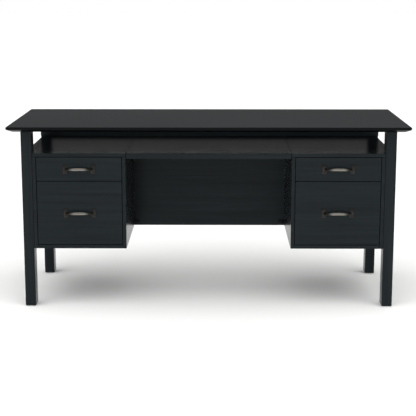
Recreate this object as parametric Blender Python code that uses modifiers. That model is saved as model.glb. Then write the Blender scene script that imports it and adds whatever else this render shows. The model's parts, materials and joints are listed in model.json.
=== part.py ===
"""Double-pedestal desk with a pull-out keyboard tray.

Metres, +Z up, +X to the right and the front of the desk towards -Y. The origin is on the
floor under the middle of the desk top. The tray and each of the four drawers hang from an
empty of their own, which stands on the line that they slide along.
"""

import math

import bmesh
import bpy
from mathutils import Vector

# ---------------------------------------------------------------- overall sizes
TOP_LENGTH = 1.676
TOP_DEPTH = 0.674
DESK_HEIGHT = 0.778

# ---------------------------------------------------------------- desk top
TOP_BAND = 0.011            # upright face of the edge
TOP_UNDERCUT_DROP = 0.011   # height of the slope under that face
TOP_UNDERCUT_RUN = 0.024    # how far in the slope runs
TOP_EDGE_ROUND = 0.0025
SIDE_OVERHANG = 0.053
FRONT_OVERHANG = 0.048
BACK_OVERHANG = 0.005

# ---------------------------------------------------------------- legs and side panels
LEG_WIDTH = 0.0445
LEG_DEPTH = 0.0605
SIDE_PANEL = 0.024          # thickness, centred on the leg's width

# ---------------------------------------------------------------- cases
BOARD = 0.015               # thickness of every case board
SHELF_HEIGHT = 0.662        # upper face of the case tops and of the tray
SHELF_RAIL = 0.020          # height of the rail that stands along the shelf's back edge
CASE_BOTTOM = 0.254         # lower face of both cases and of the modesty panel
KNEEHOLE_WIDTH = 0.696
CASE_SETBACK = 0.002        # case edges behind the faces of the legs
MODESTY_INSET = 0.087       # modesty panel's front face, ahead of the cases' back
BRACKET_REACH = 0.026
BRACKET_HEIGHT = 0.016
BRACKET_METAL = 0.002
BRACKET_LIFT = 0.012        # above the modesty panel's lower edge

# ---------------------------------------------------------------- drawers
UPPER_FRONT = 0.100         # height of a short drawer's front
FRONT_BOARD = 0.018
FRONT_GAP = 0.002           # reveal around each drawer front
BOX_BOARD = 0.012
BOX_BOTTOM = 0.006
BOX_BACK_GAP = 0.025        # drawer box to case back
BOX_SIDE_GAP = 0.004        # drawer side to case side
UPPER_BOX = 0.074           # height of the drawer sides
LOWER_BOX = 0.232
BOX_LIFT = 0.012            # drawer side's lower edge above the front's lower edge
BOTTOM_LIFT = 0.008         # drawer bottom above the sides' lower edge

# ---------------------------------------------------------------- wooden drawer runners
RUNNER_HEIGHT = 0.016
RUNNER_BITE = 0.006         # how far a runner reaches into the drawer side's groove
RUNNER_START = 0.018        # behind the drawer front
RUNNER_BACK_GAP = 0.016     # runner to case back
RUNNER_CLEARANCE = 0.0008   # runner to groove, all round

# ---------------------------------------------------------------- keyboard tray
TRAY_LIP_HEIGHT = 0.023
TRAY_LIP = 0.018            # thickness of the lip, front to back
TRAY_SIDE_GAP = 0.0015
TRAY_RAIL_HEIGHT = 0.022
TRAY_RAIL_WIDTH = 0.012
TRAY_RAIL_METAL = 0.0015
TRAY_RAIL_START = 0.040     # behind the lip's face
TRAY_RAIL_BACK_GAP = 0.030  # rail to modesty panel
TRAY_RUNNER_PLAY = 0.0010   # runner to rail, all round
TRAY_FLANGE = 0.016         # part of the runner that is screwed up into the tray
TRAY_FLANGE_METAL = 0.002

# ---------------------------------------------------------------- pulls
PULL_CENTRES = 0.118        # between the middles of the two plates
PLATE_WIDTH = 0.018
PLATE_HEIGHT = 0.038
PLATE_THICKNESS = 0.003
GRIP_DIAMETER = 0.011
GRIP_REACH = 0.028          # from the drawer front to the middle of the grip
GRIP_RISE = 0.003           # the middle of the grip above its ends
GRIP_POINTS = 25

# ---------------------------------------------------------------- fits
SEAM = 0.0003               # between two pieces that touch
ARRIS = 0.0008              # broken edge on the boards
LEG_ARRIS = 0.0015
FRONT_ARRIS = 0.0012
WELD_DISTANCE = 0.00001
CUT_PAST = 0.010            # how far a cutter passes the board it cuts

# ---------------------------------------------------------------- worked out
TOP_THICKNESS = TOP_BAND + TOP_UNDERCUT_DROP
TOP_UNDERSIDE = DESK_HEIGHT - TOP_THICKNESS
LEG_OUTER_X = TOP_LENGTH / 2 - SIDE_OVERHANG
LEG_INNER_X = LEG_OUTER_X - LEG_WIDTH
LEG_FRONT_Y = -TOP_DEPTH / 2 + FRONT_OVERHANG
LEG_BACK_Y = TOP_DEPTH / 2 - BACK_OVERHANG
BACK_LEG_FRONT_Y = LEG_BACK_Y - LEG_DEPTH
PANEL_OUTER_X = LEG_OUTER_X - (LEG_WIDTH - SIDE_PANEL) / 2
PANEL_INNER_X = PANEL_OUTER_X - SIDE_PANEL

CASE_FRONT_Y = LEG_FRONT_Y + CASE_SETBACK
CASE_BACK_Y = BACK_LEG_FRONT_Y - SEAM
CASE_OUTER_X = LEG_INNER_X - SEAM
CASE_INNER_X = KNEEHOLE_WIDTH / 2
CASE_TOP_UNDER = SHELF_HEIGHT - BOARD
SIDE_TOP = CASE_TOP_UNDER - SEAM
CASE_FLOOR = CASE_BOTTOM + BOARD
BAY_OUTER_X = CASE_OUTER_X - BOARD
BAY_INNER_X = CASE_INNER_X + BOARD

CASE_BACK_FACE_Y = CASE_BACK_Y - BOARD
MODESTY_Y = CASE_BACK_Y - MODESTY_INSET
FRONT_BACK_Y = CASE_FRONT_Y + FRONT_BOARD
BOX_FRONT_Y = FRONT_BACK_Y + SEAM
BOX_BACK_Y = CASE_BACK_FACE_Y - BOX_BACK_GAP
RUNNER_START_Y = BOX_FRONT_Y + RUNNER_START
RUNNER_BACK_Y = CASE_BACK_FACE_Y - RUNNER_BACK_GAP
LOWER_FRONT_Z = CASE_FLOOR + FRONT_GAP
UPPER_FRONT_Z = CASE_TOP_UNDER - FRONT_GAP - UPPER_FRONT
LOWER_FRONT = UPPER_FRONT_Z - FRONT_GAP - LOWER_FRONT_Z

TRAY_HALF = KNEEHOLE_WIDTH / 2 - TRAY_SIDE_GAP
TRAY_BACK_Y = MODESTY_Y - SEAM
TRAY_FRONT_Y = CASE_FRONT_Y
TRAY_RAIL_FRONT_Y = TRAY_FRONT_Y + TRAY_RAIL_START
TRAY_RAIL_LENGTH = MODESTY_Y - TRAY_RAIL_BACK_GAP - TRAY_RAIL_FRONT_Y
TRAY_RAIL_TOP = CASE_TOP_UNDER - TRAY_FLANGE_METAL - 2 * SEAM - TRAY_RUNNER_PLAY

# name, sign of X
SIDES = (("left", -1), ("right", 1))


# ---------------------------------------------------------------- setting up
def clear_objects():
    for old in list(bpy.data.objects):
        bpy.data.objects.remove(old, do_unlink=True)


def new_collection(name):
    collection = bpy.data.collections.new(name)
    bpy.context.scene.collection.children.link(collection)
    return collection


def new_material(name, colour, roughness, metallic=0.0):
    material = bpy.data.materials.new(name)
    material.use_nodes = True
    shader = material.node_tree.nodes["Principled BSDF"]
    shader.inputs["Base Color"].default_value = (*colour, 1.0)
    shader.inputs["Roughness"].default_value = roughness
    shader.inputs["Metallic"].default_value = metallic
    material.diffuse_color = (*colour, 1.0)
    return material


clear_objects()
DESK = new_collection("keyboard_tray_desk")
CUTTERS = new_collection("cutters")

BLACK_LACQUER = (0.016, 0.019, 0.022)
BLACK_BOX_WOOD = (0.022, 0.022, 0.022)
DARK_STEEL = (0.045, 0.043, 0.040)


def lacquer(part):
    return new_material(part + "_black_lacquer", BLACK_LACQUER, 0.38)


def box_wood(part):
    return new_material(part + "_stained_wood", BLACK_BOX_WOOD, 0.55)


def steel(part):
    return new_material(part + "_dark_steel", DARK_STEEL, 0.35, 1.0)


# ---------------------------------------------------------------- modelling helpers
def place(obj, world, parent):
    """Put an object at a world point, as a child of its slide's empty where it has one."""
    if parent is None:
        obj.location = world
        return
    obj.parent = parent
    obj.location = Vector(world) - parent.location


def box_mesh(name, size):
    bpy.ops.mesh.primitive_cube_add(size=1.0)
    obj = bpy.context.active_object
    obj.name = name
    obj.data.name = name
    for vertex in obj.data.vertices:
        vertex.co = Vector(a * b for a, b in zip(vertex.co, size))
    return obj


def move_to(obj, collection):
    for home in list(obj.users_collection):
        home.objects.unlink(obj)
    collection.objects.link(obj)


def add_bevel(obj, width, segments=1):
    bevel = obj.modifiers.new("broken_edges", "BEVEL")
    bevel.width = width
    bevel.segments = segments
    bevel.limit_method = "ANGLE"
    bevel.angle_limit = math.radians(40)
    return bevel


def board(name, low, high, material, parent=None, arris=ARRIS):
    """A plain board between two world corners, with broken edges."""
    low, high = Vector(low), Vector(high)
    obj = box_mesh(name, high - low)
    move_to(obj, DESK)
    place(obj, (low + high) / 2, parent)
    obj.data.materials.append(material)
    if arris:
        add_bevel(obj, arris)
    return obj


def mirrored(side, x_a, x_b):
    """The two X values of a piece on one side of the desk, smaller first."""
    return sorted((side * x_a, side * x_b))


def cut(obj, low, high):
    """Cut a box between two world corners out of a piece."""
    low, high = Vector(low), Vector(high)
    cutter = box_mesh(obj.name + "_cutter", high - low)
    cutter.location = (low + high) / 2
    move_to(cutter, CUTTERS)
    cutter.hide_render = True
    cutter.display_type = "WIRE"
    boolean = obj.modifiers.new("cut", "BOOLEAN")
    boolean.operation = "DIFFERENCE"
    boolean.solver = "EXACT"
    boolean.object = cutter


def slide_empty(name, world):
    empty = bpy.data.objects.new(name, None)
    empty.empty_display_size = 0.05
    empty.location = world
    DESK.objects.link(empty)
    return empty


def profile(name, outline, length, material):
    """A solid of one section, drawn from its first corner and centred on its length."""
    curve = bpy.data.curves.new(name, "CURVE")
    curve.dimensions = "2D"
    curve.fill_mode = "BOTH"
    curve.extrude = length / 2
    spline = curve.splines.new("POLY")
    spline.points.add(len(outline) - 1)
    corner_u, corner_v = outline[0]
    for point, (u, v) in zip(spline.points, outline):
        point.co = (u - corner_u, v - corner_v, 0.0, 1.0)
    spline.use_cyclic_u = True
    obj = bpy.data.objects.new(name, curve)
    obj.data.materials.append(material)
    DESK.objects.link(obj)
    weld = obj.modifiers.new("caps", "WELD")
    weld.merge_threshold = WELD_DISTANCE
    return obj


def profile_bar(name, outline, y_low, length, material, parent=None):
    """A bar whose section is given as (x, z) world points, run back from y_low."""
    obj = profile(name, outline, length, material)
    obj.rotation_euler = (math.radians(90), 0.0, 0.0)
    corner_x, corner_z = outline[0]
    place(obj, (corner_x, y_low + length / 2, corner_z), parent)


# ---------------------------------------------------------------- desk top
def make_top():
    """A slab with an upright edge and a long slope cut under it all round."""
    obj = box_mesh("top_slab", (TOP_LENGTH, TOP_DEPTH, TOP_THICKNESS))
    move_to(obj, DESK)
    obj.location = (0.0, 0.0, DESK_HEIGHT - TOP_THICKNESS / 2)
    slope_under(obj.data, TOP_THICKNESS / 2)
    obj.data.materials.append(lacquer("top"))
    bevel = add_bevel(obj, TOP_EDGE_ROUND, 2)
    bevel.angle_limit = math.radians(80)


def slope_under(mesh, half_height):
    """Raise a slab's lower face to its edge band, then run it down and in again."""
    shape = bmesh.new()
    shape.from_mesh(mesh)
    shape.faces.ensure_lookup_table()
    under = min(shape.faces, key=lambda face: face.calc_center_median().z)
    for vertex in under.verts:
        vertex.co.z = half_height - TOP_BAND
    slope = bmesh.ops.extrude_face_region(shape, geom=[under])
    bmesh.ops.delete(shape, geom=[under], context="FACES_ONLY")
    for vertex in (v for v in slope["geom"] if isinstance(v, bmesh.types.BMVert)):
        vertex.co.z = -half_height
        vertex.co.x -= math.copysign(TOP_UNDERCUT_RUN, vertex.co.x)
        vertex.co.y -= math.copysign(TOP_UNDERCUT_RUN, vertex.co.y)
    bmesh.ops.recalc_face_normals(shape, faces=shape.faces)
    shape.to_mesh(mesh)
    shape.free()


# ---------------------------------------------------------------- legs and side panels
def make_legs():
    rows = (("front", LEG_FRONT_Y), ("back", BACK_LEG_FRONT_Y))
    for side_name, side in SIDES:
        for row_name, y in rows:
            x_low, x_high = mirrored(side, LEG_INNER_X, LEG_OUTER_X)
            name = f"leg_{row_name}_{side_name}"
            low = (x_low, y, 0.0)
            high = (x_high, y + LEG_DEPTH, TOP_UNDERSIDE - SEAM)
            board(name, low, high, lacquer(name), arris=LEG_ARRIS)


def make_side_panels():
    for side_name, side in SIDES:
        x_low, x_high = mirrored(side, PANEL_INNER_X, PANEL_OUTER_X)
        name = f"side_panel_{side_name}"
        low = (x_low, LEG_FRONT_Y + LEG_DEPTH + SEAM, CASE_BOTTOM)
        high = (x_high, BACK_LEG_FRONT_Y - SEAM, SHELF_HEIGHT)
        board(name, low, high, lacquer(name))


# ---------------------------------------------------------------- the two cases
def make_case(side_name, side):
    """Outer side, inner side, floor, back and top of one pedestal."""
    walls = (("outer", BAY_OUTER_X, CASE_OUTER_X), ("inner", CASE_INNER_X, BAY_INNER_X))
    for wall_name, near_x, far_x in walls:
        name = f"case_{side_name}_{wall_name}_side"
        x_low, x_high = mirrored(side, near_x, far_x)
        low = (x_low, CASE_FRONT_Y, CASE_BOTTOM)
        board(name, low, (x_high, CASE_BACK_Y, SIDE_TOP), lacquer(name))

    name = f"case_{side_name}_floor"
    x_low, x_high = mirrored(side, BAY_INNER_X + SEAM, BAY_OUTER_X - SEAM)
    low = (x_low, CASE_FRONT_Y, CASE_BOTTOM)
    board(name, low, (x_high, CASE_BACK_Y, CASE_FLOOR), lacquer(name))

    name = f"case_{side_name}_back"
    low = (x_low, CASE_BACK_FACE_Y, CASE_FLOOR + SEAM)
    board(name, low, (x_high, CASE_BACK_Y, SIDE_TOP), lacquer(name))

    name = f"case_{side_name}_top"
    x_low, x_high = mirrored(side, CASE_INNER_X, PANEL_INNER_X - SEAM)
    low = (x_low, CASE_FRONT_Y, CASE_TOP_UNDER)
    high = (x_high, CASE_BACK_Y, SHELF_HEIGHT)
    top = board(name, low, high, lacquer(name), arris=0)
    notch_x = mirrored(side, LEG_INNER_X - SEAM, LEG_OUTER_X)
    low = (notch_x[0], LEG_FRONT_Y - CUT_PAST, CASE_TOP_UNDER - CUT_PAST)
    high = (notch_x[1], LEG_FRONT_Y + LEG_DEPTH + SEAM, SHELF_HEIGHT + CUT_PAST)
    cut(top, low, high)


def make_backs():
    """The low rail behind the open shelf, the modesty panel and the board on it."""
    half = LEG_OUTER_X - ARRIS
    low = (-half, CASE_BACK_FACE_Y, SHELF_HEIGHT + SEAM)
    high = (half, CASE_BACK_Y, SHELF_HEIGHT + SEAM + SHELF_RAIL)
    board("shelf_back_rail", low, high, lacquer("shelf_back_rail"))

    half = CASE_INNER_X - SEAM
    low = (-half, MODESTY_Y, CASE_BOTTOM)
    high = (half, MODESTY_Y + BOARD, SIDE_TOP)
    board("modesty_panel", low, high, lacquer("modesty_panel"))

    low = (-half, MODESTY_Y, CASE_TOP_UNDER)
    high = (half, CASE_BACK_Y, SHELF_HEIGHT)
    board("shelf_centre_back", low, high, lacquer("shelf_centre_back"))


def make_brackets():
    """Steel angles that hold the modesty panel's lower corners to the cases."""
    corner_y = MODESTY_Y - SEAM
    for side_name, side in SIDES:
        corner_x = side * (CASE_INNER_X - SEAM)
        reach_x = corner_x - side * BRACKET_REACH
        wall_x = corner_x - side * BRACKET_METAL
        wall_y = corner_y - BRACKET_METAL
        reach_y = corner_y - BRACKET_REACH
        name = f"modesty_bracket_{side_name}"
        outline = (
            (corner_x, corner_y), (reach_x, corner_y), (reach_x, wall_y),
            (wall_x, wall_y), (wall_x, reach_y), (corner_x, reach_y),
        )
        bracket = profile(name, outline, BRACKET_HEIGHT, steel(name))
        bracket_z = CASE_BOTTOM + BRACKET_LIFT + BRACKET_HEIGHT / 2
        bracket.location = (corner_x, corner_y, bracket_z)


# ---------------------------------------------------------------- keyboard tray
def make_tray():
    slide = slide_empty("keyboard_tray_slide", (0.0, TRAY_FRONT_Y, CASE_TOP_UNDER))
    low = (-TRAY_HALF, TRAY_FRONT_Y + TRAY_LIP + SEAM, CASE_TOP_UNDER)
    high = (TRAY_HALF, TRAY_BACK_Y, SHELF_HEIGHT)
    board("tray_board", low, high, lacquer("tray_board"), slide)

    low = (-TRAY_HALF, TRAY_FRONT_Y, SHELF_HEIGHT - TRAY_LIP_HEIGHT)
    high = (TRAY_HALF, TRAY_FRONT_Y + TRAY_LIP, SHELF_HEIGHT)
    board("tray_front_lip", low, high, lacquer("tray_front_lip"), slide, arris=LEG_ARRIS)

    for side_name, side in SIDES:
        make_tray_rail(side_name, side)
        make_tray_runner(side_name, side, slide)


def make_tray_rail(side_name, side):
    """A C section on the case's inner side, open towards the middle of the kneehole."""
    back = side * (CASE_INNER_X - SEAM)
    mouth = back - side * TRAY_RAIL_WIDTH
    web = back - side * TRAY_RAIL_METAL
    top, low = TRAY_RAIL_TOP, TRAY_RAIL_TOP - TRAY_RAIL_HEIGHT
    outline = (
        (back, low), (mouth, low), (mouth, low + TRAY_RAIL_METAL),
        (web, low + TRAY_RAIL_METAL), (web, top - TRAY_RAIL_METAL),
        (mouth, top - TRAY_RAIL_METAL), (mouth, top), (back, top),
    )
    name = f"tray_rail_{side_name}"
    profile_bar(name, outline, TRAY_RAIL_FRONT_Y, TRAY_RAIL_LENGTH, steel(name))


def make_tray_runner(side_name, side, slide):
    """A bar inside the rail, a web out of its mouth and a flange under the tray board."""
    play = TRAY_RUNNER_PLAY
    inside = side * (CASE_INNER_X - SEAM - TRAY_RAIL_METAL - play)
    web_out = side * (CASE_INNER_X - SEAM - TRAY_RAIL_WIDTH - play)
    web_in = web_out - side * TRAY_FLANGE_METAL
    flange = web_in - side * TRAY_FLANGE
    bar_low = TRAY_RAIL_TOP - TRAY_RAIL_HEIGHT + TRAY_RAIL_METAL + play
    bar_top = TRAY_RAIL_TOP - TRAY_RAIL_METAL - play
    flange_top = CASE_TOP_UNDER - SEAM
    outline = (
        (inside, bar_low), (web_in, bar_low), (web_in, flange_top - TRAY_FLANGE_METAL),
        (flange, flange_top - TRAY_FLANGE_METAL), (flange, flange_top),
        (web_out, flange_top), (web_out, bar_top), (inside, bar_top),
    )
    name = f"tray_runner_{side_name}"
    profile_bar(name, outline, TRAY_RAIL_FRONT_Y, TRAY_RAIL_LENGTH, steel(name), slide)


# ---------------------------------------------------------------- drawers
def make_drawer(side_name, side, row_name, front_z, front_height, box_height):
    prefix = f"drawer_{side_name}_{row_name}"
    centre_x = side * (BAY_INNER_X + BAY_OUTER_X) / 2
    half_bay = (BAY_OUTER_X - BAY_INNER_X) / 2
    slide = slide_empty(prefix + "_slide", (centre_x, CASE_FRONT_Y, front_z + front_height / 2))

    half_front = half_bay - FRONT_GAP
    low = (centre_x - half_front, CASE_FRONT_Y, front_z)
    high = (centre_x + half_front, FRONT_BACK_Y, front_z + front_height)
    board(prefix + "_front", low, high, lacquer(prefix + "_front"), slide, arris=FRONT_ARRIS)

    wood = box_wood(prefix)
    box_low = front_z + BOX_LIFT
    box_top = box_low + box_height
    half_box = half_bay - BOX_SIDE_GAP
    half_inside = half_box - BOX_BOARD
    groove_mid = (box_low + box_top) / 2
    for hand, sign in SIDES:
        x_low, x_high = sorted((centre_x + sign * half_inside, centre_x + sign * half_box))
        low = (x_low, BOX_FRONT_Y, box_low)
        high = (x_high, BOX_BACK_Y, box_top)
        wall = board(f"{prefix}_{hand}_side", low, high, wood, slide, arris=0)
        cut_groove(wall, sign, centre_x + sign * half_box, groove_mid)
        make_runner(f"{prefix}_{hand}_runner", sign, centre_x + sign * half_bay, groove_mid)

    low = (centre_x - half_inside + SEAM, BOX_BACK_Y - BOX_BOARD, box_low)
    high = (centre_x + half_inside - SEAM, BOX_BACK_Y, box_top)
    board(prefix + "_back", low, high, wood, slide)

    low = (low[0], BOX_FRONT_Y, box_low + BOTTOM_LIFT)
    high = (high[0], BOX_BACK_Y - BOX_BOARD - SEAM, box_low + BOTTOM_LIFT + BOX_BOTTOM)
    board(prefix + "_bottom", low, high, wood, slide, arris=0)

    make_pull(prefix + "_pull", centre_x, front_z + front_height / 2, slide)


def cut_groove(wall, sign, outer_x, middle_z):
    """A groove in a drawer side's outer face for the runner, open at the back end."""
    depth = RUNNER_BITE + RUNNER_CLEARANCE
    half = RUNNER_HEIGHT / 2 + RUNNER_CLEARANCE
    x_low, x_high = sorted((outer_x - sign * depth, outer_x + sign * depth))
    low = (x_low, RUNNER_START_Y, middle_z - half)
    cut(wall, low, (x_high, CASE_BACK_FACE_Y, middle_z + half))


def make_runner(name, sign, wall_x, middle_z):
    """A hardwood strip on the case side that the drawer's groove slides on."""
    reach = BOX_SIDE_GAP + RUNNER_BITE
    x_low, x_high = sorted((wall_x - sign * SEAM, wall_x - sign * reach))
    low = (x_low, RUNNER_START_Y + RUNNER_CLEARANCE, middle_z - RUNNER_HEIGHT / 2)
    high = (x_high, RUNNER_BACK_Y, middle_z + RUNNER_HEIGHT / 2)
    board(name, low, high, box_wood(name), arris=0)


# ---------------------------------------------------------------- pulls
def grip_path():
    """Out from one plate, along a shallow arch and back to the other plate."""
    points = []
    for step in range(GRIP_POINTS):
        along = math.pi * step / (GRIP_POINTS - 1)
        x = -math.cos(along) * PULL_CENTRES / 2
        swell = math.sin(along) ** 0.5
        points.append((x, -GRIP_REACH * swell, GRIP_RISE * math.sin(along)))
    return points


def make_pull(name, centre_x, centre_z, slide):
    """Two upright plates and the bowed grip between them, joined into one piece."""
    face_y = CASE_FRONT_Y - SEAM
    curve = bpy.data.curves.new(name + "_grip", "CURVE")
    curve.dimensions = "3D"
    curve.bevel_depth = GRIP_DIAMETER / 2
    curve.bevel_resolution = 2
    curve.use_fill_caps = True
    spline = curve.splines.new("POLY")
    path = grip_path()
    spline.points.add(len(path) - 1)
    for point, (x, y, z) in zip(spline.points, path):
        point.co = (x, y - PLATE_THICKNESS / 2, z, 1.0)
    tube = bpy.data.objects.new(name + "_tube", curve)
    CUTTERS.objects.link(tube)
    depsgraph = bpy.context.evaluated_depsgraph_get()
    mesh = bpy.data.meshes.new_from_object(tube.evaluated_get(depsgraph))
    bpy.data.objects.remove(tube, do_unlink=True)
    weld_mesh(mesh)
    mesh.name = name
    mesh.shade_smooth()
    mesh.set_sharp_from_angle(angle=math.radians(50))
    obj = bpy.data.objects.new(name, mesh)
    mesh.materials.clear()
    mesh.materials.append(steel(name))
    DESK.objects.link(obj)
    place(obj, (centre_x, face_y, centre_z), slide)
    for hand, sign in SIDES:
        size = Vector((PLATE_WIDTH, PLATE_THICKNESS, PLATE_HEIGHT))
        plate = box_mesh(f"{name}_{hand}_plate", size)
        centre = Vector((sign * PULL_CENTRES / 2, -PLATE_THICKNESS / 2, 0.0))
        plate.location = Vector((centre_x, face_y, centre_z)) + centre
        move_to(plate, CUTTERS)
        plate.hide_render = True
        plate.display_type = "WIRE"
        union = obj.modifiers.new(f"{hand}_plate", "BOOLEAN")
        union.operation = "UNION"
        union.solver = "EXACT"
        union.object = plate


def weld_mesh(mesh):
    """Close a curve's loose caps and turn its faces outwards."""
    shape = bmesh.new()
    shape.from_mesh(mesh)
    bmesh.ops.remove_doubles(shape, verts=shape.verts, dist=WELD_DISTANCE)
    bmesh.ops.recalc_face_normals(shape, faces=shape.faces)
    shape.to_mesh(mesh)
    shape.free()


# ---------------------------------------------------------------- the whole desk
def main():
    make_top()
    make_legs()
    make_side_panels()
    make_backs()
    make_brackets()
    make_tray()
    for side_name, side in SIDES:
        make_case(side_name, side)
        make_drawer(side_name, side, "lower", LOWER_FRONT_Z, LOWER_FRONT, LOWER_BOX)
        make_drawer(side_name, side, "upper", UPPER_FRONT_Z, UPPER_FRONT, UPPER_BOX)


main()
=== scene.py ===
"""Looks of the black pedestal desk: lacquered boards, bronze pulls, steel slides and studio."""

import json
import math

import bmesh
import bpy
from bpy.props import FloatProperty, PointerProperty, StringProperty
from bpy.types import Operator, Panel, PropertyGroup
from mathutils import Matrix, Vector


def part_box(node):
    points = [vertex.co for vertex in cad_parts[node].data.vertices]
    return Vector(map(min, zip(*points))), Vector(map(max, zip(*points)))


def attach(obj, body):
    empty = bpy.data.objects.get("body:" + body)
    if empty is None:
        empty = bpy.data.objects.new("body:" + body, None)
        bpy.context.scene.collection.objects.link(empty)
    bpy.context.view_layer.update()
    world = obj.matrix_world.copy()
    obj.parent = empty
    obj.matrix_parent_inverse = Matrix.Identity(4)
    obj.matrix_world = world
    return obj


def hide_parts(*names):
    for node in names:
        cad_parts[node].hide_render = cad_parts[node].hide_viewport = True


bl_info = {
    "name": "Pedestal Desk Finish",
    "version": (1, 0, 0),
    "blender": (4, 5, 0),
    "location": "View3D > Sidebar > Desk",
    "description": "Builds the finished boards, pulls, screws and studio of a black desk",
    "category": "Object",
}

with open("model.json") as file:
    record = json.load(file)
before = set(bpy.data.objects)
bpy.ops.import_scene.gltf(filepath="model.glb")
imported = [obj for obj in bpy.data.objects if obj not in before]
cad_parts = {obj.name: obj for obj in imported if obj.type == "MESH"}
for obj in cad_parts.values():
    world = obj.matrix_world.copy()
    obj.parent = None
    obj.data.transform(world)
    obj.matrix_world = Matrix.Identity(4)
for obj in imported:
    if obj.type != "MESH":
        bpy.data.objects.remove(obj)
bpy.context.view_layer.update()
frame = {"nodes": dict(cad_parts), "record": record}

MM = 0.001
SIDES = (("left", -1), ("right", 1))
ROWS = ("upper", "lower")
DRAWERS = [f"drawer_{side}_{row}" for side, _ in SIDES for row in ROWS]
LEGS = [f"leg_{row}_{side}" for side, _ in SIDES for row in ("front", "back")]
NODE_BODY = {
    node: body
    for body, nodes in frame["record"]["behaviour"]["bodies"].items()
    for node in nodes
}


# ------------------------------------------------------------------ settings
class DeskSizes(PropertyGroup):
    """Sizes that a maker would change without changing the desk's frame."""

    arris: FloatProperty(
        name="Board arris",
        description="Radius of the rounded edges on case boards",
        default=1.2 * MM,
        unit="LENGTH",
    )
    leg_arris: FloatProperty(
        name="Leg arris",
        description="Radius of the rounded edges on the legs",
        default=2.2 * MM,
        unit="LENGTH",
    )
    top_round: FloatProperty(
        name="Top edge round",
        description="Radius of the desk top's upper edge",
        default=2.8 * MM,
        unit="LENGTH",
    )
    top_band: FloatProperty(
        name="Top edge band",
        description="Height of the upright face of the desk top's edge",
        default=11 * MM,
        unit="LENGTH",
    )
    top_run: FloatProperty(
        name="Undercut run",
        description="How far the slope under the desk top runs in",
        default=24 * MM,
        unit="LENGTH",
    )
    grip_middle: FloatProperty(
        name="Grip middle",
        description="Thickness of a pull's grip at its middle",
        default=13.5 * MM,
        unit="LENGTH",
    )
    grip_end: FloatProperty(
        name="Grip end",
        description="Thickness of a pull's grip where it meets its posts",
        default=6.0 * MM,
        unit="LENGTH",
    )
    plate_round: FloatProperty(
        name="Plate edge",
        description="Radius of the edges of a pull's plates",
        default=0.8 * MM,
        unit="LENGTH",
    )
    screw_head: FloatProperty(
        name="Screw head",
        description="Diameter of the slide and bracket screw heads",
        default=6.5 * MM,
        unit="LENGTH",
    )
    glide: FloatProperty(
        name="Glide diameter",
        description="Diameter of the glide under each foot",
        default=32 * MM,
        unit="LENGTH",
    )
    glide_height: FloatProperty(
        name="Glide height",
        description="How far each glide lifts its foot",
        default=3 * MM,
        unit="LENGTH",
    )


class DeskColours(PropertyGroup):
    """Finish colours, as sRGB hex."""

    lacquer_dark: StringProperty(
        name="Lacquer, dark", description="Darker streaks of the lacquer", default="#111517"
    )
    lacquer_light: StringProperty(
        name="Lacquer, light", description="Lighter streaks of the lacquer", default="#1A1F21"
    )
    top_dark: StringProperty(
        name="Top, dark", description="Darker streaks of the desk top", default="#0B0D0E"
    )
    top_light: StringProperty(
        name="Top, light", description="Lighter streaks of the desk top", default="#262B2D"
    )
    # The edge colour darkens the top's edge band and paints shade on the slope under it.
    top_edge: StringProperty(
        name="Top, edge", description="Thicker lacquer round the top's edge", default="#050607"
    )
    stain_dark: StringProperty(
        name="Stain, dark", description="Darker streaks of the drawer boxes", default="#15130F"
    )
    stain_light: StringProperty(
        name="Stain, light", description="Lighter streaks of the drawer boxes", default="#2E2A24"
    )
    bronze: StringProperty(
        name="Bronze", description="Dark bronze of the pulls' plates", default="#3B3936"
    )
    # The rubbed colour is both bare rubbed metal and a painted highlight on the pulls' grips.
    rubbed: StringProperty(
        name="Rubbed bronze", description="Bare metal where hands rub", default="#8A867F"
    )
    steel: StringProperty(
        name="Blackened steel", description="Slides, brackets and screws", default="#202022"
    )
    nylon: StringProperty(name="Nylon", description="Foot glides", default="#16171A")
    floor: StringProperty(name="Floor", description="Studio floor", default="#F4F4F3")
    studio: StringProperty(
        name="Backdrop", description="Studio behind the desk", default="#FFFFFF"
    )


def sizes():
    """The sizes as the panel holds them."""
    return bpy.context.scene.desk_sizes


def colours():
    """The colours as the panel holds them."""
    return bpy.context.scene.desk_colours


# ------------------------------------------------------------------ node helpers
def linear(hex_colour):
    """An sRGB hex colour as linear RGBA."""
    channels = [int(hex_colour[i : i + 2], 16) / 255 for i in (1, 3, 5)]
    return [c / 12.92 if c <= 0.04045 else ((c + 0.055) / 1.055) ** 2.4 for c in channels] + [1.0]


def dimmed(hex_colour, share):
    """A hex colour at a share of its brightness, as linear RGBA."""
    return [c * share for c in linear(hex_colour)[:3]] + [1.0]


def node(tree, kind, inputs=None, links=None, stops=(), **settings):
    """Add one node with its settings, its input values and its incoming links.

    A colour ramp also takes its two stops, each a place and a colour.
    """
    made = tree.nodes.new(kind)
    for key, value in settings.items():
        setattr(made, key, value)
    for key, value in (inputs or {}).items():
        made.inputs[key].default_value = value
    for key, source in (links or {}).items():
        tree.links.new(source, made.inputs[key])
    for number, (position, colour) in enumerate(stops):
        made.color_ramp.elements[number].position = position
        made.color_ramp.elements[number].color = colour
    return made


def new_material(name):
    """An empty material, its node tree and its shader."""
    material = bpy.data.materials.new(name)
    material.use_nodes = True
    tree = material.node_tree
    return material, tree, tree.nodes["Principled BSDF"]


def tinted(tree, attribute, colour, hex_colour):
    """A colour that gives way to another where the mesh's attribute is 1."""
    there = node(tree, "ShaderNodeAttribute", attribute_name=attribute)
    mixed = node(
        tree,
        "ShaderNodeMix",
        {"B": linear(hex_colour)},
        {"Factor": there.outputs["Fac"]},
        data_type="RGBA",
    )
    tree.links.new(colour, mixed.inputs["A"])
    return mixed.outputs["Result"]


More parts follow.
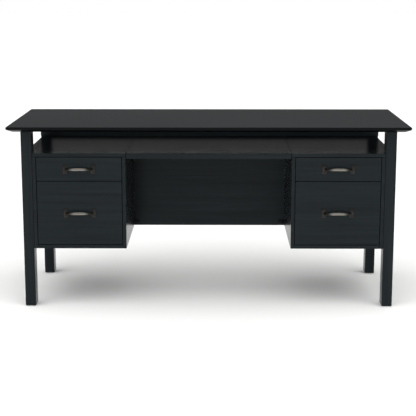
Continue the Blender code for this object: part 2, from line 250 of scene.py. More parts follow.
# ------------------------------------------------------------------ materials
def grained(name, axis, dark, light, rough, pore_depth, specular, edge=None):
    """Wood finish whose streaks run along one axis.

    Straight-grained ash or oak has pores about 0.3 mm wide and streaks 5 to 30 mm wide.
    The pores are drawn 1.5 mm wide, because finer ones vanish at arm's length.
    Where the mesh's edge attribute is 1, the colour turns to the edge colour: darker on the edge
    band, and painted shade on the slope under the top.
    """
    material, tree, shader = new_material(name)
    place = node(tree, "ShaderNodeTexCoord")
    board = node(tree, "ShaderNodeAttribute", attribute_name="board")
    along = "XYZ".index(axis)

    def streaks(across_mm, length_mm, detail, seed_step):
        scale = [1 / (across_mm * MM)] * 3
        scale[along] = 1 / (length_mm * MM)
        mapping = node(
            tree, "ShaderNodeMapping", {"Scale": scale}, {"Vector": place.outputs["Object"]}
        )
        seed = node(
            tree,
            "ShaderNodeMath",
            {1: seed_step},
            {0: board.outputs["Fac"]},
            operation="MULTIPLY",
        )
        return node(
            tree,
            "ShaderNodeTexNoise",
            {"Scale": 1.0, "Detail": detail, "Roughness": 0.6},
            {"Vector": mapping.outputs[0], "W": seed.outputs[0]},
            noise_dimensions="4D",
        )

    broad = streaks(22, 700, 4, 3.7)
    fine = streaks(4, 260, 3, 9.1)
    pores = streaks(1.5, 38, 2, 5.3)
    blend = node(
        tree,
        "ShaderNodeMix",
        {"Factor": 0.45},
        {"A": broad.outputs["Fac"], "B": fine.outputs["Fac"]},
        data_type="FLOAT",
    )
    streaked = node(
        tree,
        "ShaderNodeValToRGB",
        links={"Fac": blend.outputs[0]},
        stops=((0.34, linear(dark)), (0.66, linear(light))),
    )
    colour = streaked.outputs["Color"]
    if edge:
        colour = tinted(tree, "edge", colour, edge)
    tree.links.new(colour, shader.inputs["Base Color"])
    gloss = node(
        tree,
        "ShaderNodeMapRange",
        {"From Min": 0.3, "From Max": 0.7, "To Min": rough - 0.03, "To Max": rough + 0.05},
        {"Value": blend.outputs[0]},
    )
    tree.links.new(gloss.outputs[0], shader.inputs["Roughness"])
    open_pores = node(
        tree,
        "ShaderNodeMapRange",
        {"From Min": 0.36, "From Max": 0.46},
        {"Value": pores.outputs["Fac"]},
    )
    relief = node(
        tree,
        "ShaderNodeMath",
        {1: 0.4},
        {0: fine.outputs["Fac"], 2: open_pores.outputs[0]},
        operation="MULTIPLY_ADD",
    )
    bump = node(
        tree,
        "ShaderNodeBump",
        {"Strength": 0.3, "Distance": pore_depth},
        {"Height": relief.outputs[0]},
    )
    tree.links.new(bump.outputs[0], shader.inputs["Normal"])
    shader.inputs["Specular IOR Level"].default_value = specular
    return material


def cast_metal(name, hex_colour, rough, grit_mm, relief_mm, rubbed=None):
    """Metal with the soft unevenness of a casting or a pickled sheet.

    Where the mesh's mask attribute is 1, the colour turns lighter: bare metal where hands rub, and
    a painted highlight along the grip's front.
    """
    material, tree, shader = new_material(name)
    place = node(tree, "ShaderNodeTexCoord")
    grit = node(
        tree,
        "ShaderNodeTexNoise",
        {"Scale": 1 / (grit_mm * MM), "Detail": 4.0},
        {"Vector": place.outputs["Object"]},
    )
    mottled = node(
        tree,
        "ShaderNodeValToRGB",
        links={"Fac": grit.outputs["Fac"]},
        stops=((0.3, dimmed(hex_colour, 0.62)), (0.7, linear(hex_colour))),
    )
    colour = mottled.outputs["Color"]
    if rubbed:
        colour = tinted(tree, "rubbed", colour, rubbed)
    tree.links.new(colour, shader.inputs["Base Color"])
    gloss = node(
        tree,
        "ShaderNodeMapRange",
        {"From Min": 0.3, "From Max": 0.7, "To Min": rough + 0.06, "To Max": rough - 0.06},
        {"Value": grit.outputs["Fac"]},
    )
    tree.links.new(gloss.outputs[0], shader.inputs["Roughness"])
    bump = node(
        tree,
        "ShaderNodeBump",
        {"Strength": 0.3, "Distance": relief_mm * MM},
        {"Height": grit.outputs["Fac"]},
    )
    tree.links.new(bump.outputs[0], shader.inputs["Normal"])
    shader.inputs["Metallic"].default_value = 1.0
    return material


def moulded_nylon():
    """Injection-moulded black nylon: an even satin with a fine spark-eroded texture.

    The mould's grit is about 0.2 mm. It is drawn 0.8 mm wide, because finer doesn't show.
    """
    material, tree, shader = new_material("nylon_moulded_black")
    place = node(tree, "ShaderNodeTexCoord")
    spark = node(
        tree,
        "ShaderNodeTexNoise",
        {"Scale": 1 / (0.8 * MM), "Detail": 2.0},
        {"Vector": place.outputs["Object"]},
    )
    black = colours().nylon
    speckled = node(
        tree,
        "ShaderNodeValToRGB",
        links={"Fac": spark.outputs["Fac"]},
        stops=((0.3, dimmed(black, 0.8)), (0.7, linear(black))),
    )
    tree.links.new(speckled.outputs["Color"], shader.inputs["Base Color"])
    bump = node(
        tree,
        "ShaderNodeBump",
        {"Strength": 0.2, "Distance": 0.1 * MM},
        {"Height": spark.outputs["Fac"]},
    )
    tree.links.new(bump.outputs[0], shader.inputs["Normal"])
    shader.inputs["Roughness"].default_value = 0.55
    return material


MATERIALS = {}


def material(kind, axis="X"):
    """Each finish is made once, when a piece first asks for it."""
    key = (kind, axis)
    if key in MATERIALS:
        return MATERIALS[key]
    c = colours()
    if kind == "lacquer":
        # Satin black nitrocellulose lacquer sprayed over ash: the pores stay open, so a
        # low light shows faint straight lines.
        made = grained(
            f"ash_black_lacquered_{axis.lower()}",
            axis,
            c.lacquer_dark,
            c.lacquer_light,
            rough=0.21,
            pore_depth=0.05 * MM,
            specular=0.07,
        )
    elif kind == "top":
        # The same lacquer on the top's wider boards, rubbed thinner, so that the broad
        # streaks of the ash show through a little more.
        made = grained(
            f"ash_black_lacquered_top_{axis.lower()}",
            axis,
            c.top_dark,
            c.top_light,
            rough=0.22,
            pore_depth=0.09 * MM,
            specular=0.08,
            edge=c.top_edge,
        )
    elif kind == "stain":
        # Drawer boxes of plain wood, stained near black and left matt.
        made = grained(
            f"poplar_stained_{axis.lower()}",
            axis,
            c.stain_dark,
            c.stain_light,
            rough=0.62,
            pore_depth=0.35 * MM,
            specular=0.25,
        )
    elif kind == "bronze":
        # Cast zinc plated to a dark antique bronze: satin, slightly wavy over about 9 mm as
        # castings are. The grip's front is lighter: bare metal where hands rub it, and a painted
        # highlight.
        made = cast_metal(
            "zinc_cast_antique_bronze",
            c.bronze,
            rough=0.32,
            grit_mm=9,
            relief_mm=0.1,
            rubbed=c.rubbed,
        )
    elif kind == "steel":
        # Cold-rolled steel, blackened in oil: a dull satin, mottled in patches of about 4 mm.
        made = cast_metal(
            "steel_rolled_oil_blackened", c.steel, rough=0.42, grit_mm=4, relief_mm=0.08
        )
    else:
        made = moulded_nylon()
    MATERIALS[key] = made
    return made


def finish_piece(obj, body, finish, node_name=None):
    """Give a finished mesh its material, its body and the node it stands for."""
    obj.data.materials.clear()
    obj.data.materials.append(finish)
    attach(obj, body)
    if node_name:
        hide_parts(node_name)
    return obj


def mesh_object(name, shape):
    """A new object, at the origin, from a bmesh."""
    mesh = bpy.data.meshes.new(name)
    shape.to_mesh(mesh)
    shape.free()
    obj = bpy.data.objects.new(name, mesh)
    bpy.context.scene.collection.objects.link(obj)
    return obj


def seed_board(obj, number):
    """The number that moves the grain pattern, so that no two boards match."""
    values = obj.data.attributes.new("board", "FLOAT", "POINT")
    values.data.foreach_set("value", [float(number)] * len(obj.data.vertices))


def box_shape(low, high):
    """A plain box between two corners."""
    shape = bmesh.new()
    bmesh.ops.create_cube(shape, size=1.0)
    size = Vector(high) - Vector(low)
    centre = (Vector(high) + Vector(low)) / 2
    for vertex in shape.verts:
        vertex.co = Vector(a * b for a, b in zip(vertex.co, size)) + centre
    return shape


def apply_modifiers(obj):
    """Swap an object's mesh for its evaluated one and drop its modifiers."""
    depsgraph = bpy.context.evaluated_depsgraph_get()
    mesh = bpy.data.meshes.new_from_object(obj.evaluated_get(depsgraph))
    obj.modifiers.clear()
    obj.data = mesh


def cut_boxes(obj, boxes):
    """Cut boxes out of a board before its edges are rounded."""
    for number, (low, high) in enumerate(boxes):
        cutter = mesh_object(f"{obj.name}_cutter_{number}", box_shape(low, high))
        boolean = obj.modifiers.new("cut", "BOOLEAN")
        boolean.object = cutter
        apply_modifiers(obj)
        bpy.data.objects.remove(cutter)


def round_edges(obj, radius, segments=3, angle=30):
    """Round the edges and keep the flat faces flat to the eye."""
    obj.data.shade_smooth()
    bevel = obj.modifiers.new("arris", "BEVEL")
    bevel.width = radius
    bevel.segments = segments
    bevel.limit_method = "ANGLE"
    bevel.angle_limit = math.radians(angle)
    bevel.harden_normals = True
    apply_modifiers(obj)
    if not obj.data.has_custom_normals:
        raise RuntimeError(f"{obj.name} lost its flat faces' normals")


def make_board(node_name, kind, axis, radius, cuts=(), low=None, high=None):
    """A board with rounded arrises that stands for one CAD board."""
    cad_low, cad_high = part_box(node_name)
    name = node_name + "_board"
    obj = mesh_object(name, box_shape(low or cad_low, high or cad_high))
    if cuts:
        cut_boxes(obj, cuts)
    round_edges(obj, radius)
    seed_board(obj, 1 + sorted(NODE_BODY).index(node_name))
    return finish_piece(obj, NODE_BODY[node_name], material(kind, axis), node_name)


# ------------------------------------------------------------------ desk top
class DESK_OT_top(Operator):
    """Make the desk top, with its upright edge and the slope cut under it."""

    bl_idname = "desk.top"
    bl_label = "Desk Top"

    def execute(self, context):
        low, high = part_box("top_slab")
        band_low = high.z - sizes().top_band
        shape = box_shape(Vector((low.x, low.y, band_low)), high)
        under = min(shape.faces, key=lambda face: face.calc_center_median().z)
        grown = bmesh.ops.extrude_face_region(shape, geom=[under])
        bmesh.ops.delete(shape, geom=[under], context="FACES_ONLY")
        for vertex in (v for v in grown["geom"] if isinstance(v, bmesh.types.BMVert)):
            vertex.co.z = low.z
            vertex.co.x -= math.copysign(sizes().top_run, vertex.co.x)
            vertex.co.y -= math.copysign(sizes().top_run, vertex.co.y)
        bmesh.ops.recalc_face_normals(shape, faces=shape.faces)
        obj = mesh_object("top_slab_finished", shape)
        round_edges(obj, sizes().top_round, segments=4, angle=20)
        seed_board(obj, 0.5)
        # 1 from just under the upper face down, so that the edge and the slope are darker: on the
        # slope under the top this is painted shade.
        edge = obj.data.attributes.new("edge", "FLOAT", "POINT")
        below = high.z - sizes().top_round / 4
        edge.data.foreach_set("value", [float(v.co.z < below) for v in obj.data.vertices])
        finish_piece(obj, "frame", material("top", "X"), "top_slab")
        return {"FINISHED"}


# ------------------------------------------------------------------ legs
# A glide's whole depth and the round of its edges, as shares of its lift.
GLIDE_DEPTH = 1.2
GLIDE_ROUND = 0.35


class DESK_OT_legs(Operator):
    """Make the four legs and the moulded glide under each of them."""

    bl_idname = "desk.legs"
    bl_label = "Legs and Glides"

    def execute(self, context):
        lift = sizes().glide_height
        for node_name in LEGS:
            low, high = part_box(node_name)
            foot = Vector((low.x, low.y, low.z + lift))
            make_board(node_name, "lacquer", "Z", sizes().leg_arris, low=foot, high=high)
            centre = (low + high) / 2
            self.make_glide(node_name, centre, low.z, lift)
        return {"FINISHED"}

    def make_glide(self, node_name, centre, floor_z, lift):
        """A round-edged disc whose upper part is pressed into the foot."""
        depth = lift * GLIDE_DEPTH
        shape = bmesh.new()
        bmesh.ops.create_cone(
            shape,
            cap_ends=True,
            segments=40,
            radius1=sizes().glide / 2,
            radius2=sizes().glide / 2,
            depth=depth,
            matrix=Matrix.Translation((centre.x, centre.y, floor_z + depth / 2)),
        )
        obj = mesh_object(node_name + "_glide", shape)
        round_edges(obj, lift * GLIDE_ROUND)
        finish_piece(obj, NODE_BODY[node_name], material("nylon"))


# ------------------------------------------------------------------ cases and panels
SEAM = 0.3 * MM
CUT_PAST = 60 * MM  # how far a cutting box runs on past the board


class DESK_OT_cases(Operator):
    """Make the boards of both cases, the side panels, the backs and the modesty panel."""

    bl_idname = "desk.cases"
    bl_label = "Cases and Panels"

    def execute(self, context):
        radius = sizes().arris
        for side, sign in SIDES:
            make_board(f"side_panel_{side}", "lacquer", "Y", radius)
            for wall in ("outer_side", "inner_side"):
                make_board(f"case_{side}_{wall}", "lacquer", "Y", radius)
            make_board(f"case_{side}_floor", "lacquer", "X", radius)
            make_board(f"case_{side}_back", "lacquer", "X", radius)
            self.make_case_top(side, sign, radius)
        for node_name in ("shelf_back_rail", "modesty_panel", "shelf_centre_back"):
            make_board(node_name, "lacquer", "X", radius)
        return {"FINISHED"}

    def make_case_top(self, side, sign, radius):
        """The shelf over a case, notched round the front leg."""
        name = f"case_{side}_top"
        low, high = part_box(name)
        leg_low, leg_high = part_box(f"leg_front_{side}")
        inner_x = (leg_low.x if sign > 0 else leg_high.x) - sign * SEAM
        x_low, x_high = sorted((inner_x, inner_x + sign * CUT_PAST))
        notch_low = Vector((x_low, leg_low.y - CUT_PAST, low.z - CUT_PAST))
        notch_high = Vector((x_high, leg_high.y + SEAM, high.z + CUT_PAST))
        make_board(name, "lacquer", "X", radius, cuts=[(notch_low, notch_high)])


# ------------------------------------------------------------------ keyboard tray
class DESK_OT_tray(Operator):
    """Make the tray's board and the lip along its front."""

    bl_idname = "desk.tray"
    bl_label = "Keyboard Tray"

    def execute(self, context):
        make_board("tray_board", "lacquer", "X", sizes().arris)
        make_board("tray_front_lip", "lacquer", "X", sizes().leg_arris)
        return {"FINISHED"}


# ------------------------------------------------------------------ steelwork
class DESK_OT_steelwork(Operator):
    """Finish the slide rails, runners and brackets as blackened steel."""

    bl_idname = "desk.steelwork"
    bl_label = "Steelwork"

    def execute(self, context):
        for side, _ in SIDES:
            for part in ("tray_rail", "tray_runner", "modesty_bracket"):
                obj = frame["nodes"][f"{part}_{side}"]
                obj.data.materials.clear()
                obj.data.materials.append(material("steel"))
        return {"FINISHED"}


# ------------------------------------------------------------------ drawers
RUNNER_PLAY = 0.8 * MM
RUNNER_ROUND = 1.5 * MM
FRONT_ROUND = 0.8  # share of the legs' arris


class DESK_OT_drawers(Operator):
    """Make each drawer's front and box, and the wooden runners that it slides on."""

    bl_idname = "desk.drawers"
    bl_label = "Drawers"

    def execute(self, context):
        for drawer in DRAWERS:
            make_board(drawer + "_front", "lacquer", "X", sizes().leg_arris * FRONT_ROUND)
            for part, axis in (("back", "X"), ("bottom", "Y")):
                make_board(f"{drawer}_{part}", "stain", axis, sizes().arris)
            for hand, sign in SIDES:
                self.make_side(drawer, hand, sign)
                make_board(f"{drawer}_{hand}_runner", "stain", "Y", RUNNER_ROUND)
        return {"FINISHED"}

    def make_side(self, drawer, hand, sign):
        """A drawer side with the groove that its runner fits."""
        low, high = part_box(f"{drawer}_{hand}_side")
        runner_low, runner_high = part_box(f"{drawer}_{hand}_runner")
        inner_x = (runner_low.x if sign > 0 else runner_high.x) - sign * RUNNER_PLAY
        x_low, x_high = sorted((inner_x, inner_x + sign * CUT_PAST))
        groove_low = Vector((x_low, runner_low.y - RUNNER_PLAY, runner_low.z - RUNNER_PLAY))
        groove_high = Vector((x_high, high.y + CUT_PAST, runner_high.z + RUNNER_PLAY))
        name = f"{drawer}_{hand}_side"
        make_board(name, "stain", "Y", sizes().arris, cuts=[(groove_low, groove_high)])


# ------------------------------------------------------------------ pulls
PLATE_WIDTH = 18 * MM
PLATE_THICKNESS = 3 * MM
BOW_RINGS = 56
BOW_SIDES = 24
BOW_SQUARENESS = 0.42  # under 1 the bow leaves its posts steeply and runs flat between them
BOW_LEAN = 0.10  # how much nearer together the posts' feet are, as a share of the span
BOW_SINK = 0.5 * MM  # how far the posts run into their plates
BOW_RISE = 3.5 * MM  # how far the grip arches up
GRIP_FROM, GRIP_SHARE = 0.16, 0.68  # where the grip swells, as shares of the bow's length
GRIP_FULLNESS = 0.7  # under 1 the grip is fuller towards its ends
GRIP_FLATNESS = 0.92  # depth of the grip's section against its height
TANGENT_STEP = 0.004
WEAR_ALONG, WEAR_OUTWARD = 40 * MM, 16 * MM  # where hands rub and the highlight is painted: half-length and depth
WEAR_ALONG_FADE, WEAR_OUTWARD_FADE = 2.2, 2.5  # higher fades over a shorter distance


def within_one(value):
    """A value kept between 0 and 1."""
    return max(0.0, min(1.0, value))


class DESK_OT_pulls(Operator):
    """Make each pull: two plates, two posts and a spindle-shaped bow between them."""

    bl_idname = "desk.pulls"
    bl_label = "Pulls"

    def execute(self, context):
        for drawer in DRAWERS:
            self.make_pull(drawer)
        return {"FINISHED"}

    def make_pull(self, drawer):
        """One pull as a closed mesh, with its rubbed part and its painted highlight marked."""
        node_name = drawer + "_pull"
        low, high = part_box(node_name)
        centre = (low + high) / 2
        plate = Vector((PLATE_WIDTH, PLATE_THICKNESS, high.z - low.z))
        span = (high.x - low.x) - plate.x
        shape = bmesh.new()
        for _, sign in SIDES:
            middle = Vector((centre.x + sign * span / 2, high.y - plate.y / 2, centre.z))
            self.add_plate(shape, middle, plate)
        self.add_bow(shape, centre, span, low.y, high.y - plate.y)
        bmesh.ops.recalc_face_normals(shape, faces=shape.faces)
        obj = mesh_object(node_name + "_finished", shape)
        obj.data.shade_smooth()
        obj.data.set_sharp_from_angle(angle=math.radians(40))
        # Lighter along the grip's front: rubbed metal and a painted highlight.
        wear = obj.data.attributes.new("rubbed", "FLOAT", "POINT")
        wear.data.foreach_set("value", [self.wear(v.co, centre, low) for v in obj.data.vertices])
        finish_piece(obj, NODE_BODY[node_name], material("bronze"), node_name)

    def wear(self, place, centre, low):
        """1 along the grip's outer half, where hands rub and the highlight is painted, fading to 0
        at its ends and on the plates.
        """
        along = 1 - abs(place.x - centre.x) / WEAR_ALONG
        outward = 1 - (place.y - low.y) / WEAR_OUTWARD
        return within_one(along * WEAR_ALONG_FADE) * within_one(outward * WEAR_OUTWARD_FADE)

    def add_plate(self, shape, middle, size):
        """An upright plate with its front and upright edges rounded."""
        made = bmesh.ops.create_cube(shape, size=1.0)
        for vertex in made["verts"]:
            vertex.co = Vector(a * b for a, b in zip(vertex.co, size)) + middle
        front = [v for v in made["verts"] if v.co.y < middle.y]
        edges = {e for v in front for e in v.link_edges if all(w in front for w in e.verts)}
        upright = {e for v in front for e in v.link_edges} - edges
        bmesh.ops.bevel(
            shape,
            geom=list(edges | upright),
            offset=sizes().plate_round,
            segments=3,
            profile=0.5,
            affect="EDGES",
        )

    def add_bow(self, shape, centre, span, outer_y, plate_y):
        """Rings along the bow, wide at the middle and narrow where it turns to the posts."""
        middle_r, end_r = sizes().grip_middle / 2, sizes().grip_end / 2
        reach = plate_y - outer_y - middle_r
        up = Vector((0.0, 0.0, 1.0))
        rings = []
        for step in range(BOW_RINGS + 1):
            t = step / BOW_RINGS
            along, swell = self.bow_line(t, span)
            y = plate_y + BOW_SINK - (reach + BOW_SINK) * swell
            z = centre.z + BOW_RISE * math.sin(math.pi * t) ** 2
            middle = Vector((centre.x + along, y, z))
            body = max(0.0, math.sin(math.pi * within_one((t - GRIP_FROM) / GRIP_SHARE)))
            radius = end_r + (middle_r - end_r) * body**GRIP_FULLNESS
            out = self.bow_tangent(t, span, reach).cross(up).normalized()
            ring = []
            for k in range(BOW_SIDES):
                turn = 2 * math.pi * k / BOW_SIDES
                flat = out * math.cos(turn) * radius * GRIP_FLATNESS
                ring.append(shape.verts.new(middle + (flat + up * math.sin(turn) * radius)))
            rings.append(ring)
        for last, ring in zip(rings, rings[1:]):
            for k in range(BOW_SIDES):
                following = (k + 1) % BOW_SIDES
                shape.faces.new((last[k], last[following], ring[following], ring[k]))
        shape.faces.new(rings[0])
        shape.faces.new(list(reversed(rings[-1])))

    def bow_line(self, t, span):
        """Place along the bow's middle line, and how far out it stands, from 0 to 1."""
        angle = math.pi * within_one(t)
        swell = max(0.0, math.sin(angle)) ** BOW_SQUARENESS
        return -math.cos(angle) * span / 2 * (1 - BOW_LEAN * (1 - swell)), swell

    def bow_tangent(self, t, span, reach):
        """Direction of the bow's middle line, worked out from two near points."""
        ends = []
        for near in (t - TANGENT_STEP, t + TANGENT_STEP):
            along, swell = self.bow_line(near, span)
            ends.append(Vector((along, -reach * swell, 0.0)))
        return (ends[1] - ends[0]).normalized()


# ------------------------------------------------------------------ screws
# Shares of the head's diameter, then of its height.
HEAD_HEIGHT = 0.42
SLOT_WIDTH = 0.14
SLOT_LENGTH = 0.62
SLOT_LIFT = 0.72
PULL_SCREW = 4.5 * MM
BOX_SCREW = 6 * MM
# How far each head's centre stands in from the piece's edge, or sinks under its face.
BRACKET_SCREW_IN = 9 * MM
FLANGE_SCREW_IN = 8 * MM
BOX_SCREW_IN = 6 * MM
SHEET_SCREW_SINK = 2 * MM
PULL_SCREW_RISE = 12.5 * MM  # above and below the middle of the plate


def screw_tree():
    """Geometry Nodes: a cross-headed screw on every point, turned along its aim."""
    tree = bpy.data.node_groups.new("screw_heads", "GeometryNodeTree")
    sockets = tree.interface
    sockets.new_socket("Points", in_out="INPUT", socket_type="NodeSocketGeometry")
    sockets.new_socket("Head Diameter", in_out="INPUT", socket_type="NodeSocketFloat")
    sockets.new_socket("Head Height", in_out="INPUT", socket_type="NodeSocketFloat")
    sockets.new_socket("Slot Width", in_out="INPUT", socket_type="NodeSocketFloat")
    sockets.new_socket("Finish", in_out="INPUT", socket_type="NodeSocketMaterial")
    sockets.new_socket("Screws", in_out="OUTPUT", socket_type="NodeSocketGeometry")
    inside = node(tree, "NodeGroupInput")
    value = inside.outputs
    ball = node(
        tree,
        "GeometryNodeMeshUVSphere",
        {"Segments": 24, "Rings": 12, "Radius": 0.5},
    )
    squash = node(
        tree,
        "ShaderNodeCombineXYZ",
        links={"X": value["Head Diameter"], "Y": value["Head Diameter"], "Z": value["Head Height"]},
    )
    head = node(
        tree,
        "GeometryNodeTransform",
        links={"Geometry": ball.outputs["Mesh"], "Scale": squash.outputs[0]},
    )
    bars = []
    for long_axis, short_axis in (("X", "Y"), ("Y", "X")):
        length = node(
            tree,
            "ShaderNodeMath",
            {1: SLOT_LENGTH},
            {0: value["Head Diameter"]},
            operation="MULTIPLY",
        )
        bar_size = node(
            tree,
            "ShaderNodeCombineXYZ",
            links={
                long_axis: length.outputs[0],
                short_axis: value["Slot Width"],
                "Z": value["Head Height"],
            },
        )
        bar = node(tree, "GeometryNodeMeshCube", links={"Size": bar_size.outputs[0]})
        lift = node(
            tree,
            "ShaderNodeMath",
            {1: SLOT_LIFT},
            {0: value["Head Height"]},
            operation="MULTIPLY",
        )
        up = node(tree, "ShaderNodeCombineXYZ", links={"Z": lift.outputs[0]})
        bars.append(
            node(
                tree,
                "GeometryNodeTransform",
                links={"Geometry": bar.outputs["Mesh"], "Translation": up.outputs[0]},
            )
        )
    cross = node(tree, "GeometryNodeMeshBoolean", operation="UNION", solver="EXACT")
    for bar in bars:
        tree.links.new(bar.outputs[0], cross.inputs["Mesh 2"])
    slotted = node(
        tree,
        "GeometryNodeMeshBoolean",
        links={"Mesh 1": head.outputs[0], "Mesh 2": cross.outputs["Mesh"]},
        operation="DIFFERENCE",
        solver="EXACT",
    )
    aim = node(tree, "GeometryNodeInputNamedAttribute", {"Name": "aim"}, data_type="FLOAT_VECTOR")
    turn = node(
        tree,
        "FunctionNodeAlignRotationToVector",
        links={"Vector": aim.outputs[0]},
        axis="Z",
    )
    copies = node(
        tree,
        "GeometryNodeInstanceOnPoints",
        links={
            "Points": value["Points"],
            "Instance": slotted.outputs["Mesh"],
            "Rotation": turn.outputs[0],
        },
    )
    real = node(
        tree, "GeometryNodeRealizeInstances", links={"Geometry": copies.outputs["Instances"]}
    )
    painted = node(
        tree,
        "GeometryNodeSetMaterial",
        links={"Geometry": real.outputs[0], "Material": value["Finish"]},
    )
    node(tree, "NodeGroupOutput", links={"Screws": painted.outputs[0]})
    return tree


def set_inputs(modifier, values):
    """Set a Geometry Nodes modifier's inputs by their sockets' identifiers."""
    for item in modifier.node_group.interface.items_tree:
        if item.item_type == "SOCKET" and item.in_out == "INPUT" and item.name in values:
            modifier[item.identifier] = values[item.name]


class DESK_OT_screws(Operator):
    """Set the screws in the slides, brackets, pulls and drawer boxes, one mesh for each set of
    screws.
    """

    bl_idname = "desk.screws"
    bl_label = "Screws"

    def execute(self, context):
        tree = screw_tree()
        head = sizes().screw_head
        self.set_screws(tree, "frame", "frame", self.frame_points(), head, "steel")
        self.set_screws(tree, "tray", "keyboard_tray", self.tray_points(), head, "steel")
        for drawer in DRAWERS:
            points = self.pull_points(drawer)
            self.set_screws(tree, drawer + "_pull", drawer, points, PULL_SCREW, "bronze")
            points = self.box_points(drawer)
            self.set_screws(tree, drawer + "_box", drawer, points, BOX_SCREW, "steel")
        return {"FINISHED"}

    def frame_points(self):
        """One screw through each leaf of both modesty brackets."""
        points = []
        for side, sign in SIDES:
            low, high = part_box(f"modesty_bracket_{side}")
            middle_z = (low.z + high.z) / 2
            wall_x = (high.x if sign > 0 else low.x) - sign * SHEET_SCREW_SINK
            near_x = (low.x if sign > 0 else high.x) + sign * BRACKET_SCREW_IN
            points.append(((near_x, high.y - SHEET_SCREW_SINK, middle_z), (0, -1, 0)))
            points.append(((wall_x, low.y + BRACKET_SCREW_IN, middle_z), (-sign, 0, 0)))
        return points

    def tray_points(self):
        """Screws up through the runners' flanges into the tray board."""
        points = []
        for side, sign in SIDES:
            low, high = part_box(f"tray_runner_{side}")
            flange_x = (low.x if sign > 0 else high.x) + sign * FLANGE_SCREW_IN
            for step in range(4):
                y = low.y + (high.y - low.y) * (0.08 + 0.28 * step)
                points.append(((flange_x, y, high.z - SHEET_SCREW_SINK), (0, 0, -1)))
        return points

    def pull_points(self, drawer):
        """One round head above and one below the bow on each plate."""
        low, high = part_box(drawer + "_pull")
        centre = (low + high) / 2
        points = []
        for _, sign in SIDES:
            x = centre.x + sign * ((high.x - low.x) / 2 - PLATE_WIDTH / 2)
            for rise in (-PULL_SCREW_RISE, PULL_SCREW_RISE):
                points.append(((x, high.y - PLATE_THICKNESS, centre.z + rise), (0, -1, 0)))
        return points

    def box_points(self, drawer):
        """Screws through the drawer's back into the ends of its sides."""
        low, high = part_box(drawer + "_back")
        _, side_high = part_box(drawer + "_right_side")
        side_low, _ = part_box(drawer + "_left_side")
        points = []
        for x in (side_low.x + BOX_SCREW_IN, side_high.x - BOX_SCREW_IN):
            for part in (0.15, 0.85):
                z = low.z + (high.z - low.z) * part
                points.append(((x, high.y, z), (0, 1, 0)))
        return points

    def set_screws(self, tree, name, body, points, head, finish):
        """Run the tree on one body's points, and keep the result as a plain mesh."""
        mesh = bpy.data.meshes.new(name + "_screws")
        mesh.from_pydata([place for place, _ in points], [], [])
        aims = mesh.attributes.new("aim", "FLOAT_VECTOR", "POINT")
        aims.data.foreach_set("vector", [float(c) for _, aim in points for c in aim])
        obj = bpy.data.objects.new(name + "_screws", mesh)
        bpy.context.scene.collection.objects.link(obj)
        modifier = obj.modifiers.new("screws", "NODES")
        modifier.node_group = tree
        values = {
            "Head Diameter": head,
            "Head Height": head * HEAD_HEIGHT,
            "Slot Width": head * SLOT_WIDTH,
            "Finish": material(finish),
        }
        set_inputs(modifier, values)
        apply_modifiers(obj)
        if not obj.data.polygons:
            raise RuntimeError(f"no screws were made for {name}")
        obj.data.shade_smooth()
        obj.data.set_sharp_from_angle(angle=math.radians(35))
        finish_piece(obj, body, material(finish))


# ------------------------------------------------------------------ studio
FLOOR_HALF = 40.0
FRONT_LIGHT = 0.40
BACK_LIGHT = 0.13
OVERHEAD_LIGHT = 0.9
CAMERA_PLACE = (0.034, -5.003, 1.381)
CAMERA_DOWN = 11.4  # degrees
CAMERA_TURN = 0.0077  # radians
CAMERA_LENS = 98.7
CAMERA_SENSOR = 36.0


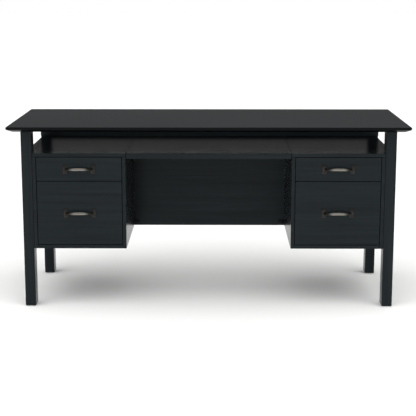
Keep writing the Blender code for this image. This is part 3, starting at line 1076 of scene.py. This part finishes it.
class DESK_OT_stage(Operator):
    """Lay the pale floor, hang the soft lights and stand the camera."""

    bl_idname = "desk.stage"
    bl_label = "Studio"

    def execute(self, context):
        self.make_floor()
        self.make_world(context)
        self.make_sun(context, "skylight", tilt=38, turn=-6, energy=2.2, angle=100)
        self.make_sun(context, "low_fill", tilt=86, turn=-4, energy=1.4, angle=8)
        self.make_camera(context)
        return {"FINISHED"}

    def make_floor(self):
        """Pale vinyl sheet, matt, so that it takes a soft shadow and mirrors nothing."""
        shape = bmesh.new()
        bmesh.ops.create_grid(shape, x_segments=1, y_segments=1, size=FLOOR_HALF)
        obj = mesh_object("studio_floor", shape)
        made, _, shader = new_material("vinyl_floor_pale")
        shader.inputs["Base Color"].default_value = linear(colours().floor)
        shader.inputs["Roughness"].default_value = 0.9
        shader.inputs["Specular IOR Level"].default_value = 0.1
        obj.data.materials.append(made)

    def make_world(self, context):
        """White behind the desk as seen, and dimmer as a source, so that black stays black.

        The light overhead is the brighter part, which gives the pulls their highlight.
        """
        world = bpy.data.worlds.new("studio")
        context.scene.world = world
        world.use_nodes = True
        tree = world.node_tree
        tree.nodes.clear()
        seen = node(tree, "ShaderNodeLightPath")
        toward = node(tree, "ShaderNodeTexCoord")
        parts = node(tree, "ShaderNodeSeparateXYZ", links={"Vector": toward.outputs["Generated"]})
        lit = node(
            tree,
            "ShaderNodeMapRange",
            {"From Min": -0.8, "From Max": 0.8, "To Min": FRONT_LIGHT, "To Max": BACK_LIGHT},
            {"Value": parts.outputs["Y"]},
        )
        above = node(
            tree,
            "ShaderNodeMapRange",
            {"From Min": 0.40, "From Max": 0.90, "To Min": 0.0, "To Max": OVERHEAD_LIGHT},
            {"Value": parts.outputs["Z"]},
        )
        both = node(
            tree,
            "ShaderNodeMath",
            links={0: lit.outputs[0], 1: above.outputs[0]},
            operation="ADD",
        )
        strength = node(
            tree,
            "ShaderNodeMix",
            {"B": 1.0},
            {"Factor": seen.outputs["Is Camera Ray"], "A": both.outputs[0]},
            data_type="FLOAT",
        )
        sky = node(
            tree,
            "ShaderNodeBackground",
            {"Color": linear(colours().studio)},
            {"Strength": strength.outputs[0]},
        )
        node(tree, "ShaderNodeOutputWorld", links={"Surface": sky.outputs[0]})

    def make_sun(self, context, name, tilt, turn, energy, angle):
        """A distant soft source that lights both pedestals alike and shows in no reflection."""
        light = bpy.data.lights.new(name, "SUN")
        light.energy = energy
        light.angle = math.radians(angle)
        obj = bpy.data.objects.new(name, light)
        obj.rotation_euler = (math.radians(tilt), 0.0, math.radians(turn))
        obj.visible_glossy = False
        context.scene.collection.objects.link(obj)

    def make_camera(self, context):
        """Nearly head-on, a little above the desk top, and tipped down to the drawers."""
        data = bpy.data.cameras.new("camera")
        data.lens = CAMERA_LENS
        data.sensor_width = CAMERA_SENSOR
        camera = bpy.data.objects.new("camera", data)
        camera.location = CAMERA_PLACE
        camera.rotation_euler = (math.radians(90 - CAMERA_DOWN), 0.0, CAMERA_TURN)
        context.scene.collection.objects.link(camera)
        context.scene.camera = camera
        context.scene.view_settings.view_transform = "Standard"


# ------------------------------------------------------------------ panel
STEPS = (
    DESK_OT_stage,
    DESK_OT_top,
    DESK_OT_legs,
    DESK_OT_cases,
    DESK_OT_tray,
    DESK_OT_steelwork,
    DESK_OT_drawers,
    DESK_OT_pulls,
    DESK_OT_screws,
)


class DESK_PT_build(Panel):
    """Lists the steps and the sizes in the 3D view's sidebar."""

    bl_idname = "DESK_PT_build"
    bl_label = "Pedestal Desk"
    bl_space_type = "VIEW_3D"
    bl_region_type = "UI"
    bl_category = "Desk"

    def draw(self, context):
        for step in STEPS:
            self.layout.operator(step.bl_idname)
        for group in (context.scene.desk_sizes, context.scene.desk_colours):
            for name in group.bl_rna.properties.keys():
                if name not in ("rna_type", "name"):
                    self.layout.prop(group, name)


CLASSES = (DeskSizes, DeskColours, *STEPS, DESK_PT_build)


def register():
    for cls in CLASSES:
        bpy.utils.register_class(cls)
    bpy.types.Scene.desk_sizes = PointerProperty(type=DeskSizes)
    bpy.types.Scene.desk_colours = PointerProperty(type=DeskColours)


def unregister():
    del bpy.types.Scene.desk_colours
    del bpy.types.Scene.desk_sizes
    for cls in reversed(CLASSES):
        bpy.utils.unregister_class(cls)


def main():
    """Build everything in order."""
    register()
    for step in STEPS:
        group, name = step.bl_idname.split(".")
        getattr(getattr(bpy.ops, group), name)()


if __name__ == "__main__":
    main()
